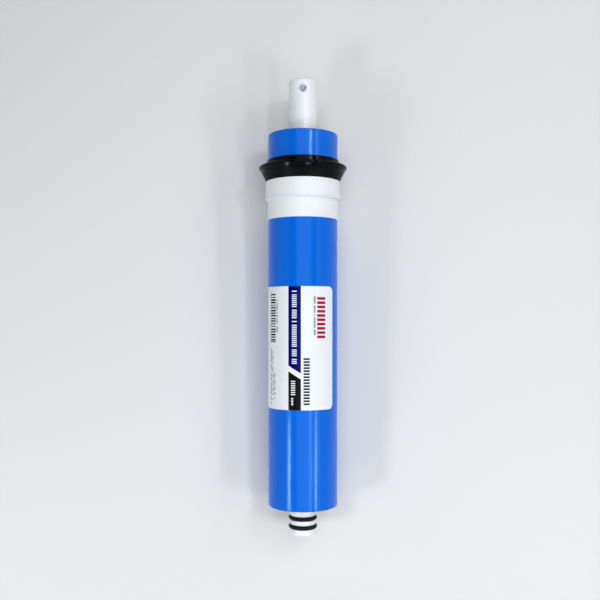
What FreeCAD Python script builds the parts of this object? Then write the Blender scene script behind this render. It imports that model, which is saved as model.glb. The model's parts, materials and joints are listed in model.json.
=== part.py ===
# Spiral-wound reverse-osmosis membrane element, residential 1.8 inch by 12 inch size.
#
# A perforated product water tube carries a bonded membrane leaf and its feed spacer, rolled
# round it.  A blue tape wraps the roll, a cup-lip brine seal is taped on near the feed end, two
# O-rings seal the outlet spigot, and a plug closes the tube behind the pull hole.
#
# Units are millimetres.  Each piece is built about the tube's axis, with +Z running from the
# feed tip at 0 to the outlet end, so a "station" is a distance from the feed tip.  +Y is the
# side that faces up.  lay_down() then lays the element on the ground, z = 0, feed end to +Y.
import FreeCAD, Part

import math
import os

# --- product water tube ----------------------------------------------------------------------
ELEMENT_LENGTH = 298.0
FEED_STUB = 35.3  # bare tube at the feed end
OUTLET_STUB = 19.3  # bare spigot at the outlet end
TUBE_R = 9.1
TUBE_WALL = 3.6
TUBE_TIP_BEVEL = 0.7
BORE_MOUTH_BEVEL = 0.5
SPIGOT_STEP = 0.7  # how much less than the tube's radius the spigot's is
PULL_HOLE_R = 2.45
PULL_HOLE_STATION = 6.4
DRAIN_HOLE_R = 0.9
DRAIN_HOLE_PITCH = 80.0
DRAIN_HOLE_MARGIN = 20.0  # least bare tube between an end of the leaf and a drain hole

# --- plug, pushed in from the feed tip against a shoulder, between the pull hole and the leaf --
PLUG_BEHIND_PULL_HOLE = 5.15
PLUG_LENGTH = 10.0
PLUG_SHOULDER = 0.3  # how much more than the bore's radius the plug's seat has
PLUG_BOND_LINE = 0.05
PLUG_BEVEL = 0.6

# --- O-rings on the outlet spigot ------------------------------------------------------------
O_RING_SECTION = 2.5
O_RING_GROOVE_DEPTH = 1.4
O_RING_SIDES = 8  # the round section is drawn with this many sides, to keep the model light
O_RING_SIDE_PLAY = 0.25
O_RING_PITCH = 5.8
LAST_O_RING_FROM_END = 5.4

# --- rolled leaf: membrane, carrier and membrane bonded together, with the spacer between turns
MEMBRANE = 0.15
PERMEATE_CARRIER = 0.31
FEED_SPACER = 0.86
WIND_TURNS = 8
LEAF_RECESS = 0.5  # how far the leaf's ends stand inside the outer wrap

# --- outer wrap of tape ----------------------------------------------------------------------
WRAP = 0.37

# --- brine seal: a sleeve on the wrap, a lip that flares towards the feed end, and a skirt ----
SEAL_FROM_WRAP_END = 17.0
SEAL_SLEEVE = 1.0
SEAL_SKIRT = 1.4
SEAL_SKIRT_LENGTH = 12.5
LIP = 1.1
LIP_ROOT_FROM_TOP = 13.8
LIP_BEND_RISE = 1.5  # from the skirt to where the lip turns from a slight to a steep flare
LIP_BEND_FROM_ROOT = 4.9
LIP_RIM_RISE = 4.75
LIP_RIM_FROM_ROOT = 8.4

# --- tape over the seal's skirt --------------------------------------------------------------
SEAL_TAPE = 0.22
SEAL_TAPE_WIDTH = 24.9

# --- label, with angles from the side that faces up, seen with the outlet end near ------------
LABEL = 0.1
LABEL_STATION = 135.0
LABEL_LENGTH = 78.7
LABEL_LEFT = 86.0
LABEL_RIGHT = 55.5
LABEL_CORNER_R = 3.4

# --- worked out ------------------------------------------------------------------------------
ORIGIN = FreeCAD.Vector(0, 0, 0)
X_AXIS = FreeCAD.Vector(1, 0, 0)
Y_AXIS = FreeCAD.Vector(0, 1, 0)
Z_AXIS = FreeCAD.Vector(0, 0, 1)

TUBE_BORE_R = TUBE_R - TUBE_WALL
SPIGOT_R = TUBE_R - SPIGOT_STEP
GROOVE_FLOOR_R = SPIGOT_R - O_RING_GROOVE_DEPTH
PLUG_SEAT_R = TUBE_BORE_R + PLUG_SHOULDER
PLUG_STATION = PULL_HOLE_STATION + PULL_HOLE_R + PLUG_BEHIND_PULL_HOLE
PLUG_END = PLUG_STATION + PLUG_LENGTH
WRAP_END = ELEMENT_LENGTH - OUTLET_STUB
LEAF_START = FEED_STUB + LEAF_RECESS
LEAF_END = WRAP_END - LEAF_RECESS
WIND_PITCH = 2 * MEMBRANE + PERMEATE_CARRIER + FEED_SPACER
SPACER_TOP = MEMBRANE + FEED_SPACER  # the spacer's outer face, above the start of its own turn
HALF_TURNS = 2 * WIND_TURNS
ROLL_R = TUBE_R + MEMBRANE + WIND_PITCH * (WIND_TURNS + 1)
WRAP_R = ROLL_R + WRAP

SEAL_STATION = FEED_STUB + SEAL_FROM_WRAP_END
SLEEVE_R = WRAP_R + SEAL_SLEEVE
SKIRT_R = WRAP_R + SEAL_SKIRT
LIP_ROOT = SEAL_STATION + LIP_ROOT_FROM_TOP
SEAL_END = LIP_ROOT + SEAL_SKIRT_LENGTH
LIP_BEND_R = SKIRT_R + LIP_BEND_RISE
LIP_RIM_R = SKIRT_R + LIP_RIM_RISE
RIM_STATION = LIP_ROOT - LIP_RIM_FROM_ROOT
LABEL_R = WRAP_R + LABEL


def point(radius, station):
    """A point of a turned profile, in the XZ half-plane."""
    return FreeCAD.Vector(radius, 0, station)


def outline(corners):
    """The closed wire that joins corners with straight lines."""
    return Part.makePolygon(corners + corners[:1])


def turned(corners):
    """The solid that a closed profile sweeps in one turn about the axis."""
    return Part.Face(outline(corners)).revolve(ORIGIN, Z_AXIS, 360)


def cross_bore(radius, station, direction):
    """A round cutter through both walls of the tube, square to its axis."""
    reach = TUBE_R + 1
    start = point(0, station) - direction * reach
    return Part.makeCylinder(radius, 2 * reach, start, direction)


def o_ring_stations():
    last = ELEMENT_LENGTH - LAST_O_RING_FROM_END
    return last - O_RING_PITCH, last


def drain_hole_stations():
    reach = LEAF_END - LEAF_START - 2 * DRAIN_HOLE_MARGIN
    spaces = int(reach / DRAIN_HOLE_PITCH)
    first = (LEAF_START + LEAF_END - spaces * DRAIN_HOLE_PITCH) / 2
    return [first + index * DRAIN_HOLE_PITCH for index in range(spaces + 1)]


# --- tube and what is on it ------------------------------------------------------------------
def permeate_tube():
    """The product water tube: pull hole at the feed tip, drain holes under the leaf, grooved spigot."""
    corners = [
        point(PLUG_SEAT_R + BORE_MOUTH_BEVEL, 0),
        point(TUBE_R - TUBE_TIP_BEVEL, 0),
        point(TUBE_R, TUBE_TIP_BEVEL),
        point(TUBE_R, LEAF_END),
        point(SPIGOT_R, LEAF_END),
    ]
    half_groove = O_RING_SECTION / 2 + O_RING_SIDE_PLAY
    for station in o_ring_stations():
        corners += [
            point(SPIGOT_R, station - half_groove),
            point(GROOVE_FLOOR_R, station - half_groove),
            point(GROOVE_FLOOR_R, station + half_groove),
            point(SPIGOT_R, station + half_groove),
        ]
    corners += [
        point(SPIGOT_R, ELEMENT_LENGTH - TUBE_TIP_BEVEL),
        point(SPIGOT_R - TUBE_TIP_BEVEL, ELEMENT_LENGTH),
        point(TUBE_BORE_R + BORE_MOUTH_BEVEL, ELEMENT_LENGTH),
        point(TUBE_BORE_R, ELEMENT_LENGTH - BORE_MOUTH_BEVEL),
        point(TUBE_BORE_R, PLUG_END),
        point(PLUG_SEAT_R, PLUG_END),
        point(PLUG_SEAT_R, BORE_MOUTH_BEVEL),
    ]
    holes = [cross_bore(PULL_HOLE_R, PULL_HOLE_STATION, Y_AXIS)]
    for index, station in enumerate(drain_hole_stations()):
        holes.append(cross_bore(DRAIN_HOLE_R, station, Y_AXIS if index % 2 else X_AXIS))
    return turned(corners).cut(holes).Solids[0]


def tube_plug():
    """The bonded plug that keeps feed water out of the tube's feed end."""
    radius = PLUG_SEAT_R - PLUG_BOND_LINE
    return turned(
        [
            point(0, PLUG_STATION),
            point(radius - PLUG_BEVEL, PLUG_STATION),
            point(radius, PLUG_STATION + PLUG_BEVEL),
            point(radius, PLUG_END),
            point(0, PLUG_END),
        ]
    )


def o_ring(station):
    """An O-ring seated on the floor of its groove, with a flat of its many-sided section."""
    centre = point(GROOVE_FLOOR_R + O_RING_SECTION / 2, station)
    half_side = math.pi / O_RING_SIDES
    corner_r = O_RING_SECTION / 2 / math.cos(half_side)
    turns = [half_side * (2 * side + 1) for side in range(O_RING_SIDES)]
    return turned([centre + point(math.cos(turn), math.sin(turn)) * corner_r for turn in turns])


# --- rolled leaf -----------------------------------------------------------------------------
def spiral(height, half_turns):
    """The edges of a wound sheet's face, height above the tube, as half circles that run on smoothly.

    Each half circle is half a pitch larger than the one before, and every second one is centred
    half a pitch to the side, so that ends and tangents meet.
    """
    edges = []
    for index in half_turns:
        centre = X_AXIS * (index % 2 * WIND_PITCH / 2)
        reach = (TUBE_R + height + index * WIND_PITCH / 2) * (1 - 2 * (index % 2))
        start, end = centre + X_AXIS * reach, centre - X_AXIS * reach
        edges.append(Part.Arc(start, centre + Y_AXIS * reach, end).toShape())
    return edges


def start_line(height, turns=0):
    """Where a wound sheet's face crosses the line on which the winding starts, after whole turns."""
    return X_AXIS * (TUBE_R + height + turns * WIND_PITCH)


def fold(radius):
    """The half circle that the membrane makes where it folds about the spacer's inner edge."""
    centre = start_line((MEMBRANE + SPACER_TOP) / 2)
    return Part.Arc(centre - X_AXIS * radius, centre - Y_AXIS * radius, centre + X_AXIS * radius).toShape()


def rolled(*loops):
    """The solid of a wound sheet, from the loops of edges of its end face."""
    wires = [Part.Wire(Part.__sortEdges__(edges)) for edges in loops]
    face = Part.makeFace(wires, "Part::FaceMakerBullseye")
    face.translate(point(0, LEAF_START))
    return face.extrude(point(0, LEAF_END - LEAF_START))


def membrane_leaf():
    """The leaf: a membrane folded about the spacer and bonded to the permeate carrier behind it."""
    carrier_start = Part.makeLine(start_line(SPACER_TOP + MEMBRANE), start_line(0, 1))
    tube_side = spiral(0, range(2)) + [carrier_start, fold(FEED_SPACER / 2 + MEMBRANE)]
    tail = Part.makeLine(start_line(SPACER_TOP, WIND_TURNS), start_line(MEMBRANE, WIND_TURNS + 1))
    feed_side = spiral(MEMBRANE, range(HALF_TURNS + 2)) + [tail]
    feed_side += spiral(SPACER_TOP, range(HALF_TURNS)) + [fold(FEED_SPACER / 2)]
    return rolled(feed_side, tube_side)


def feed_spacer():
    """The feed channel net, from the membrane's fold to half a turn past the leaf's tail."""
    half_turns = range(HALF_TURNS + 1)
    inside, outside = spiral(MEMBRANE, half_turns), spiral(SPACER_TOP, half_turns)
    end = Part.makeLine(inside[-1].Vertexes[-1].Point, outside[-1].Vertexes[-1].Point)
    return rolled(inside + [end] + outside + [fold(FEED_SPACER / 2)])


def heavy_side_down(sheets):
    """The wound sheets, turned together so that the roll's heavy side is down, as it is at rest."""
    weight = sum((sheet.CenterOfMass * sheet.Volume for sheet in sheets), FreeCAD.Vector())
    heavy_side = math.degrees(math.atan2(weight.y, weight.x))
    return [sheet.rotated(ORIGIN, Z_AXIS, -90 - heavy_side) for sheet in sheets]


# --- what is wrapped round the roll ----------------------------------------------------------
def outer_wrap():
    return turned(
        [
            point(ROLL_R, FEED_STUB),
            point(WRAP_R, FEED_STUB),
            point(WRAP_R, WRAP_END),
            point(ROLL_R, WRAP_END),
        ]
    )


def brine_seal():
    """The rubber seal: a sleeve, a cup lip that flares in two steps, and the skirt that is taped down."""
    root = point(SKIRT_R, LIP_ROOT)
    bend = point(LIP_BEND_R, LIP_ROOT - LIP_BEND_FROM_ROOT)
    rim = point(LIP_RIM_R, RIM_STATION)
    slight = (bend - root).normalize()
    steep = (rim - bend).normalize()
    across = Y_AXIS.cross(steep)  # from the lip's outside to its inside
    half_bend = slight.getAngle(steep) / 2
    inside_bend = bend + Y_AXIS.cross((slight + steep).normalize()) * (LIP / math.cos(half_bend))
    inside_rim = rim + across * LIP
    cup_floor = inside_bend - slight * ((inside_bend.x - SLEEVE_R) / slight.x)
    return turned(
        [
            point(WRAP_R, SEAL_STATION),
            point(SLEEVE_R, SEAL_STATION),
            cup_floor,
            inside_bend,
            inside_rim,
            rim,
            bend,
            root,
            point(SKIRT_R, SEAL_END),
            point(WRAP_R, SEAL_END),
        ]
    )


def seal_tape():
    """The white tape, from the lip's root over the seal's skirt and down on to the wrap."""
    end = LIP_ROOT + SEAL_TAPE_WIDTH
    step = SEAL_END + SEAL_TAPE
    return turned(
        [
            point(SKIRT_R, LIP_ROOT),
            point(SKIRT_R + SEAL_TAPE, LIP_ROOT),
            point(SKIRT_R + SEAL_TAPE, step),
            point(WRAP_R + SEAL_TAPE, step),
            point(WRAP_R + SEAL_TAPE, end),
            point(WRAP_R, end),
            point(WRAP_R, SEAL_END),
            point(SKIRT_R, SEAL_END),
        ]
    )


def sector(radius, station, length):
    """A cylinder's sector between the label's two long edges."""
    first = point(0, station)
    wedge = Part.makeCylinder(radius, length, first, Z_AXIS, LABEL_LEFT + LABEL_RIGHT)
    wedge.rotate(first, Z_AXIS, 90 - LABEL_RIGHT)
    return wedge


def corner_cutter(side, station, inwards):
    """What rounding takes off one corner of the label.

    It is made on the side that faces up, for a corner whose label lies towards -side in X and
    towards inwards in Z, and turned to the corner's own angle.
    """
    size = LABEL_CORNER_R
    low = FreeCAD.Vector(min(-side * size, 0), 0, min(inwards * size, 0))
    block = Part.makeBox(size, 2 * WRAP_R, size, low)
    round_centre = FreeCAD.Vector(-side * size, 0, inwards * size)
    cutter = block.cut(Part.makeCylinder(size, 2 * WRAP_R, round_centre, Y_AXIS))
    cutter.translate(point(0, station))
    cutter.rotate(ORIGIN, Z_AXIS, -LABEL_RIGHT if side > 0 else LABEL_LEFT)
    return cutter


def label():
    """The printed film label, bent round the wrap, with rounded corners."""
    end = LABEL_STATION + LABEL_LENGTH
    film = sector(LABEL_R, LABEL_STATION, LABEL_LENGTH).cut(sector(WRAP_R, LABEL_STATION, LABEL_LENGTH))
    cutters = [corner_cutter(side, LABEL_STATION, 1) for side in (1, -1)]
    cutters += [corner_cutter(side, end, -1) for side in (1, -1)]
    return film.cut(cutters).Solids[0]


# --- the element at rest ---------------------------------------------------------------------
def lay_down(shapes):
    """The same pieces lying on the ground, on the seal's rim and the far edge of the wrap."""
    tilt = math.atan((LIP_RIM_R - WRAP_R) / (WRAP_END - RIM_STATION))
    turn = FreeCAD.Rotation(X_AXIS, 90 + math.degrees(tilt))
    low_edge = turn.multVec(FreeCAD.Vector(0, -WRAP_R, WRAP_END))
    feed_tip = turn.multVec(FreeCAD.Vector(0, TUBE_TIP_BEVEL - TUBE_R, 0))
    outlet_end = turn.multVec(FreeCAD.Vector(0, SPIGOT_R - TUBE_TIP_BEVEL, ELEMENT_LENGTH))
    middle = (feed_tip.y + outlet_end.y) / 2
    placement = FreeCAD.Placement(FreeCAD.Vector(0, -middle, -low_edge.z), turn)
    return {name: shape.transformed(placement.toMatrix()) for name, shape in shapes.items()}


def main():
    inner_ring, outer_ring = o_ring_stations()
    leaf, spacer = heavy_side_down([membrane_leaf(), feed_spacer()])
    shapes = {
        "permeate_tube": permeate_tube(),
        "tube_plug": tube_plug(),
        "o_ring_inner": o_ring(inner_ring),
        "o_ring_outer": o_ring(outer_ring),
        "membrane_leaf": leaf,
        "feed_spacer": spacer,
        "outer_wrap": outer_wrap(),
        "brine_seal": brine_seal(),
        "seal_tape": seal_tape(),
        "label": label(),
    }
    os.makedirs("parts", exist_ok=True)
    for name, shape in lay_down(shapes).items():
        shape.exportStep("parts/%s.step" % name)
        print("%-14s %9.1f mm3" % (name, shape.Volume))


main()
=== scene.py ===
"""Looks of a spiral-wound reverse-osmosis membrane element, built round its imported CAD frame.

Every piece is turned, wound or bent about the element's own axis, in millimetres.  +Z runs from
the feed tip at 0 to the outlet end, so a "station" is a distance from the feed tip.  +Y is the
side that faces up, and +X is to the right with the outlet end near.  A finished piece is then laid
down in the frame, where lengths are metres.
"""

import json
import logging
import math
from collections.abc import Callable, Iterable, Mapping, Sequence
from dataclasses import dataclass
from enum import Enum
from functools import reduce

import bpy
from mathutils import Matrix, Vector


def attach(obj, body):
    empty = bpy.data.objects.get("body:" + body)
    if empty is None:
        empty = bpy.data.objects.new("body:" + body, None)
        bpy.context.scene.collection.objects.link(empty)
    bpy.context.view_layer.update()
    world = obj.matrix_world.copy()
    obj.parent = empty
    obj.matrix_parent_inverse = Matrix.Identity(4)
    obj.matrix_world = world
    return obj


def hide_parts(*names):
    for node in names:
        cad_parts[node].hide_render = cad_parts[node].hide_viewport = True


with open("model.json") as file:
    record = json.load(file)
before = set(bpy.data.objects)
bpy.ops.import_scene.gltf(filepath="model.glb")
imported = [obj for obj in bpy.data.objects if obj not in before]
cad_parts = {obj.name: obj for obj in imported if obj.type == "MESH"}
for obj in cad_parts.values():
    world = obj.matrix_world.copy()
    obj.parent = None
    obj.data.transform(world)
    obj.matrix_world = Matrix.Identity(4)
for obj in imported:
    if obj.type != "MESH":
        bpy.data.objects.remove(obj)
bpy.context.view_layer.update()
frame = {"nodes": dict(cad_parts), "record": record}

LOG = logging.getLogger("membrane_element")

MM = 0.001
WELD = 1e-4  # mm, under which two points of one profile are the same
PLASTIC_IOR = 1.45
Point = tuple[float, float]  # radius and station, mm
Corner = tuple[float, float, float]  # radius, station and rounding, mm
Band = tuple[float, float]  # where something starts and ends
Colour = tuple[float, float, float]


class Slot(Enum):
    """The record's material slots."""

    TUBE = "tube_plastic"
    O_RING = "o_ring_rubber"
    MEMBRANE = "membrane_sheet"
    SPACER = "spacer_net"
    WRAP = "wrap_tape"
    SEAL = "seal_rubber"
    TAPE = "white_tape"
    LABEL = "label_film"


class Turn(Enum):
    """The way round that a spin goes, seen from the outlet end, as the sign of its axis."""

    FORWARDS = -1.0
    BACKWARDS = 1.0


# --- where the element lies
@dataclass(frozen=True)
class Rest:
    """The place of the element's own axes in the frame.

    Attributes:
        matrix: takes a point of the upright element, in millimetres, to the frame, in metres.
    """

    matrix: Matrix

    @classmethod
    def from_mounts(cls, mounts: Iterable[Mapping], pull_hole_station: float) -> "Rest":
        """Reads the axes off the pull hole, which crosses the axis, and the product water bore.

        Args:
            mounts: the record's mounts.
            pull_hole_station: the pull hole's distance from the feed tip, in millimetres.

        Returns:
            The element's place.
        """
        named = {mount["name"]: mount for mount in mounts}
        along = Vector(named["permeate_bore"]["axis"]).normalized()
        up = Vector(named["pull_hole"]["axis"]).normalized()
        tip = Vector(named["pull_hole"]["pos_m"]) - along * pull_hole_station * MM
        turn = Matrix((up.cross(along), up, along)).transposed().to_4x4()
        return cls(Matrix.Translation(tip) @ turn @ Matrix.Scale(MM, 4))

    def lay_down(self, piece: bpy.types.Object, turned: float = 0.0) -> None:
        """Puts a piece at its place in the frame, and its object back at the origin.

        Args:
            piece: a piece modelled upright, in millimetres.
            turned: degrees by which it is first turned about the element's axis.
        """
        about_axis = Matrix.Rotation(math.radians(turned), 4, "Z")
        piece.matrix_world = self.matrix @ about_axis @ piece.matrix_world
        settle(piece)


# --- modelling
def alone(piece: bpy.types.Object) -> None:
    """Makes one object the only selected one, and the active one.

    Args:
        piece: the object.
    """
    bpy.ops.object.select_all(action="DESELECT")
    piece.select_set(True)
    bpy.context.view_layer.objects.active = piece


def settle(piece: bpy.types.Object) -> None:
    """Puts a piece's place and turn into its mesh."""
    alone(piece)
    bpy.ops.object.transform_apply(location=True, rotation=True, scale=True)


def begin(name: str, primitive: Callable[..., set], **settings: object) -> bpy.types.Object:
    """Adds a primitive on its own, open for editing with all of it selected.

    Args:
        name: the piece's name.
        primitive: the operator that adds it.
        settings: the operator's settings.

    Returns:
        The new piece.
    """
    bpy.ops.object.select_all(action="DESELECT")
    primitive(**settings)
    piece = bpy.context.object
    piece.name = piece.data.name = name
    bpy.ops.object.mode_set(mode="EDIT")
    bpy.ops.mesh.select_all(action="SELECT")
    return piece


def close(weld: bool = True) -> None:
    """Ends the editing of a piece, with its faces outwards.

    Args:
        weld: whether its doubles are merged first.
    """
    bpy.ops.mesh.select_all(action="SELECT")
    if weld:
        bpy.ops.mesh.remove_doubles(threshold=WELD)
    bpy.ops.mesh.normals_make_consistent(inside=False)
    bpy.ops.object.mode_set(mode="OBJECT")


def dress(piece: bpy.types.Object, material: bpy.types.Material) -> None:
    """Gives a piece one material."""
    piece.data.materials.clear()
    piece.data.materials.append(material)


def modify(piece: bpy.types.Object, kind: str, **settings: object) -> None:
    """Adds a modifier and applies it.

    Args:
        piece: the piece that it changes.
        kind: the modifier's type.
        settings: the modifier's settings.
    """
    alone(piece)
    modifier = piece.modifiers.new(kind.title(), kind)
    for name, value in settings.items():
        setattr(modifier, name, value)
    bpy.ops.object.modifier_apply(modifier=modifier.name)


class Lathe:
    """Draws a closed profile as a chain of extruded points, and turns it round the axis."""

    def __init__(self, name: str, start: Point) -> None:
        """Puts down the first point.

        Args:
            name: the piece's name.
            start: where the profile starts.
        """
        self.start = self.at = start
        place = (start[0], 0, start[1])
        self.piece = begin(name, bpy.ops.mesh.primitive_plane_add, size=1, location=place)
        bpy.ops.mesh.merge(type="CENTER")

    def line(self, *corners: Point) -> "Lathe":
        """Extrudes the last point to each corner in turn.

        Args:
            corners: where it goes.

        Returns:
            The lathe, so that calls can be chained.
        """
        for radius, station in corners:
            step = (radius - self.at[0], 0, station - self.at[1])
            bpy.ops.mesh.extrude_region_move(TRANSFORM_OT_translate={"value": step})
            self.at = (radius, station)
        return self

    def arc(self, centre: Point, degrees: float, steps: int = 6) -> "Lathe":
        """Spins the last point about a centre.

        Args:
            centre: the arc's centre.
            degrees: how far it goes, positive from +radius towards +station.
            steps: how many straight runs it has.

        Returns:
            The lathe, so that calls can be chained.
        """
        bpy.ops.mesh.spin(
            steps=steps,
            angle=math.radians(abs(degrees)),
            center=(centre[0], 0, centre[1]),
            axis=(0, math.copysign(1, degrees), 0),
        )
        swing = math.radians(degrees)
        out, along = self.at[0] - centre[0], self.at[1] - centre[1]
        self.at = (
            centre[0] + out * math.cos(swing) - along * math.sin(swing),
            centre[1] + out * math.sin(swing) + along * math.cos(swing),
        )
        return self

    def round_corners(self, corners: Sequence[Corner], after: Point) -> "Lathe":
        """Goes round a run of corners.

        Args:
            corners: the corners in order.
            after: the point that the last corner turns towards, which the run ends at.

        Returns:
            The lathe, so that calls can be chained.
        """
        ahead = [corner[:2] for corner in corners[1:]] + [after]
        for (radius, station, rounding), then in zip(corners, ahead):
            here = Vector((radius, station))
            coming = (here - Vector(self.at)).normalized()
            going = (Vector(then) - here).normalized()
            swing = math.atan2(coming.x * going.y - coming.y * going.x, coming.dot(going))
            first = here - coming * rounding * math.tan(abs(swing) / 2)
            self.line(tuple(first))
            if rounding:
                side = Vector((-coming.y, coming.x)) * math.copysign(rounding, swing)
                self.arc(tuple(first + side), math.degrees(swing))
        return self.line(after)

    def turned(self, steps: int = 180) -> bpy.types.Object:
        """Closes the profile and sweeps it once round the axis.

        Args:
            steps: how many faces the sweep has round the axis.

        Returns:
            The finished ring, in object mode.
        """
        self.line(self.start)
        bpy.ops.mesh.select_all(action="SELECT")
        bpy.ops.mesh.remove_doubles(threshold=WELD)
        axis = (0, 0, Turn.FORWARDS.value)
        bpy.ops.mesh.spin(steps=steps, angle=math.tau, center=(0, 0, 0), axis=axis)
        close()
        return self.piece


# --- shader maths
class Value:
    """A number in a material's nodes, with Python's arithmetic written as Math nodes."""

    def __init__(self, graph: "Graph", socket: bpy.types.NodeSocket) -> None:
        """Wraps an output socket of a graph."""
        self.graph = graph
        self.socket = socket

    def maths(self, operation: str, *others: "Number") -> "Value":
        """The result of a Math node whose first input is this value."""
        return self.graph.maths(operation, self, *others)

    def __add__(self, other: "Number") -> "Value":
        """This value and another."""
        return self.maths("ADD", other)

    def __sub__(self, other: "Number") -> "Value":
        """This value less another."""
        return self.maths("SUBTRACT", other)

    def __rsub__(self, other: "Number") -> "Value":
        """Another value less this one."""
        return self.graph.maths("SUBTRACT", other, self)

    def __mul__(self, other: "Number") -> "Value":
        """This value times another."""
        return self.maths("MULTIPLY", other)

    def __truediv__(self, other: "Number") -> "Value":
        """This value over another."""
        return self.maths("DIVIDE", other)

    def __rtruediv__(self, other: "Number") -> "Value":
        """Another value over this one."""
        return self.graph.maths("DIVIDE", other, self)

    def __mod__(self, other: "Number") -> "Value":
        """What is left of this value over another."""
        return self.maths("FLOORED_MODULO", other)

    def __rmod__(self, other: "Number") -> "Value":
        """What is left of another value over this one."""
        return self.graph.maths("FLOORED_MODULO", other, self)

    __radd__ = __add__
    __rmul__ = __mul__

    def __abs__(self) -> "Value":
        """This value without its sign."""
        return self.maths("ABSOLUTE")

    def above(self, edge: "Number", soft: float) -> "Value":
        """A mask that rises smoothly from 0 to 1 about an edge."""
        return self.graph.ramp(self - edge, -soft / 2, soft / 2)

    def within(self, low: "Number", high: "Number", soft: float) -> "Value":
        """A mask that is 1 between two edges."""
        return self.above(low, soft) * (1 - self.above(high, soft))


Number = Value | float


class Graph:
    """One material, built node by node."""

    def __init__(self, owner: str | bpy.types.World) -> None:
        """Starts with no nodes.

        Args:
            owner: a world, or the name of a new material.
        """
        self.material = bpy.data.materials.new(owner) if isinstance(owner, str) else owner
        self.material.use_nodes = True
        self.tree = self.material.node_tree
        self.tree.nodes.clear()

    def node(
        self,
        kind: str,
        settings: Mapping[str, object] | None = None,
        inputs: Mapping[str | int, object] | None = None,
    ) -> bpy.types.Node:
        """Adds a node.

        Args:
            kind: the node's type, without "ShaderNode".
            settings: attributes of the node, which are set first.
            inputs: a value, a socket, a Value or nothing for each input named or numbered.

        Returns:
            The node.
        """
        made = self.tree.nodes.new("ShaderNode" + kind)
        for name, setting in (settings or {}).items():
            setattr(made, name, setting)
        for name, given in (inputs or {}).items():
            source = given.socket if isinstance(given, Value) else given
            if isinstance(source, bpy.types.NodeSocket):
                self.tree.links.new(source, made.inputs[name])
            elif source is not None:
                made.inputs[name].default_value = source
        return made

    def number(self, *node: object) -> Value:
        """The first output of a node, given as for the node method, as a number."""
        return Value(self, self.node(*node).outputs[0])

    def maths(self, operation: str, *values: Number) -> Value:
        """A Math node's result."""
        return self.number("Math", {"operation": operation}, dict(enumerate(values)))

    def ramp(self, value: Number, low: float, high: float) -> Value:
        """0 up to low, 1 from high, and smooth between."""
        inputs = {0: value, 1: low, 2: high}
        return self.number("MapRange", {"interpolation_type": "SMOOTHSTEP"}, inputs)

    def either(self, masks: Iterable[Value]) -> Value:
        """The largest of several masks."""
        return reduce(lambda total, mask: total.maths("MAXIMUM", mask), masks)

    def blend(self, share: Number, first: object, second: object) -> bpy.types.NodeSocket:
        """The colour that goes from first to second as share goes from 0 to 1."""
        inputs = {"Factor": share, 6: rgba(first), 7: rgba(second)}
        return self.node("Mix", {"data_type": "RGBA", "clamp_factor": True}, inputs).outputs[2]

    def noise(self, vector: object, scale: float, detail: float) -> Value:
        """Smooth noise from 0 to 1 on a vector, with about scale lumps to its unit."""
        return self.number("TexNoise", {}, {"Vector": vector, "Scale": scale, "Detail": detail})

    def random(self, value: Number) -> Value:
        """A number from 0 to 1 that is different for each whole number."""
        inputs = {"W": self.maths("FLOOR", value)}
        return self.number("TexWhiteNoise", {"noise_dimensions": "1D"}, inputs)

    def vector(self, x: Number, y: Number, z: Number) -> bpy.types.NodeSocket:
        """Three numbers as a vector."""
        return self.node("CombineXYZ", {}, {0: x, 1: y, 2: z}).outputs[0]

    def bump(self, height: Value, depth: float, under: object = None) -> bpy.types.NodeSocket:
        """The normal of a surface raised by height, from 0 to 1, times a depth in millimetres."""
        inputs = {"Height": height, "Strength": 1.0, "Distance": depth * MM, "Normal": under}
        return self.node("Bump", {}, inputs).outputs[0]

    def surface(
        self, constants: Mapping[str, object], colour: object, roughness: Number, normal: object
    ) -> bpy.types.Material:
        """Ends the material in a Principled shader.

        Args:
            constants: values of the shader's own sockets, by name.
            colour: what its base colour is.
            roughness: how rough it is.
            normal: the way that its surface faces.

        Returns:
            The material.
        """
        inputs = {"Base Color": colour, "Roughness": roughness, "Normal": normal}
        shader = self.node("BsdfPrincipled", {}, {**constants, **inputs})
        self.node("OutputMaterial", {}, {"Surface": shader.outputs[0]})
        return self.material


def rgba(colour: object) -> object:
    """A colour with its alpha, or a socket as it is."""
    return (*colour, 1.0) if isinstance(colour, tuple) else colour


@dataclass(frozen=True)
class Place:
    """A surface point of the element in a material, as Values in millimetres and degrees."""

    across: Value
    up: Value
    station: Value
    vector: bpy.types.NodeSocket

    @classmethod
    def of(cls, graph: Graph, rest: Rest) -> "Place":
        """Undoes the element's lying down.

        Args:
            graph: the material's graph.
            rest: the element's place.

        Returns:
            The point on the upright element.
        """
        place, turn, scale = rest.matrix.inverted().decompose()
        inputs = {
            "Vector": graph.node("TexCoord").outputs["Object"],
            "Location": place,
            "Rotation": turn.to_euler(),
            "Scale": scale,
        }
        upright = graph.node("Mapping", {"vector_type": "POINT"}, inputs).outputs[0]
        parts = graph.node("SeparateXYZ", {}, {0: upright}).outputs
        return cls(*(Value(graph, parts[axis]) for axis in range(3)), upright)

    def angle(self) -> Value:
        """Degrees round from the side that faces up, positive to the right."""
        return self.across.maths("ARCTAN2", self.up) * math.degrees(1)

    def drawn_out(self, lumps: float) -> bpy.types.NodeSocket:
        """The point for noise with fewer lumps along the element than across it."""
        return self.across.graph.vector(self.across, self.up, self.station * lumps)


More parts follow.
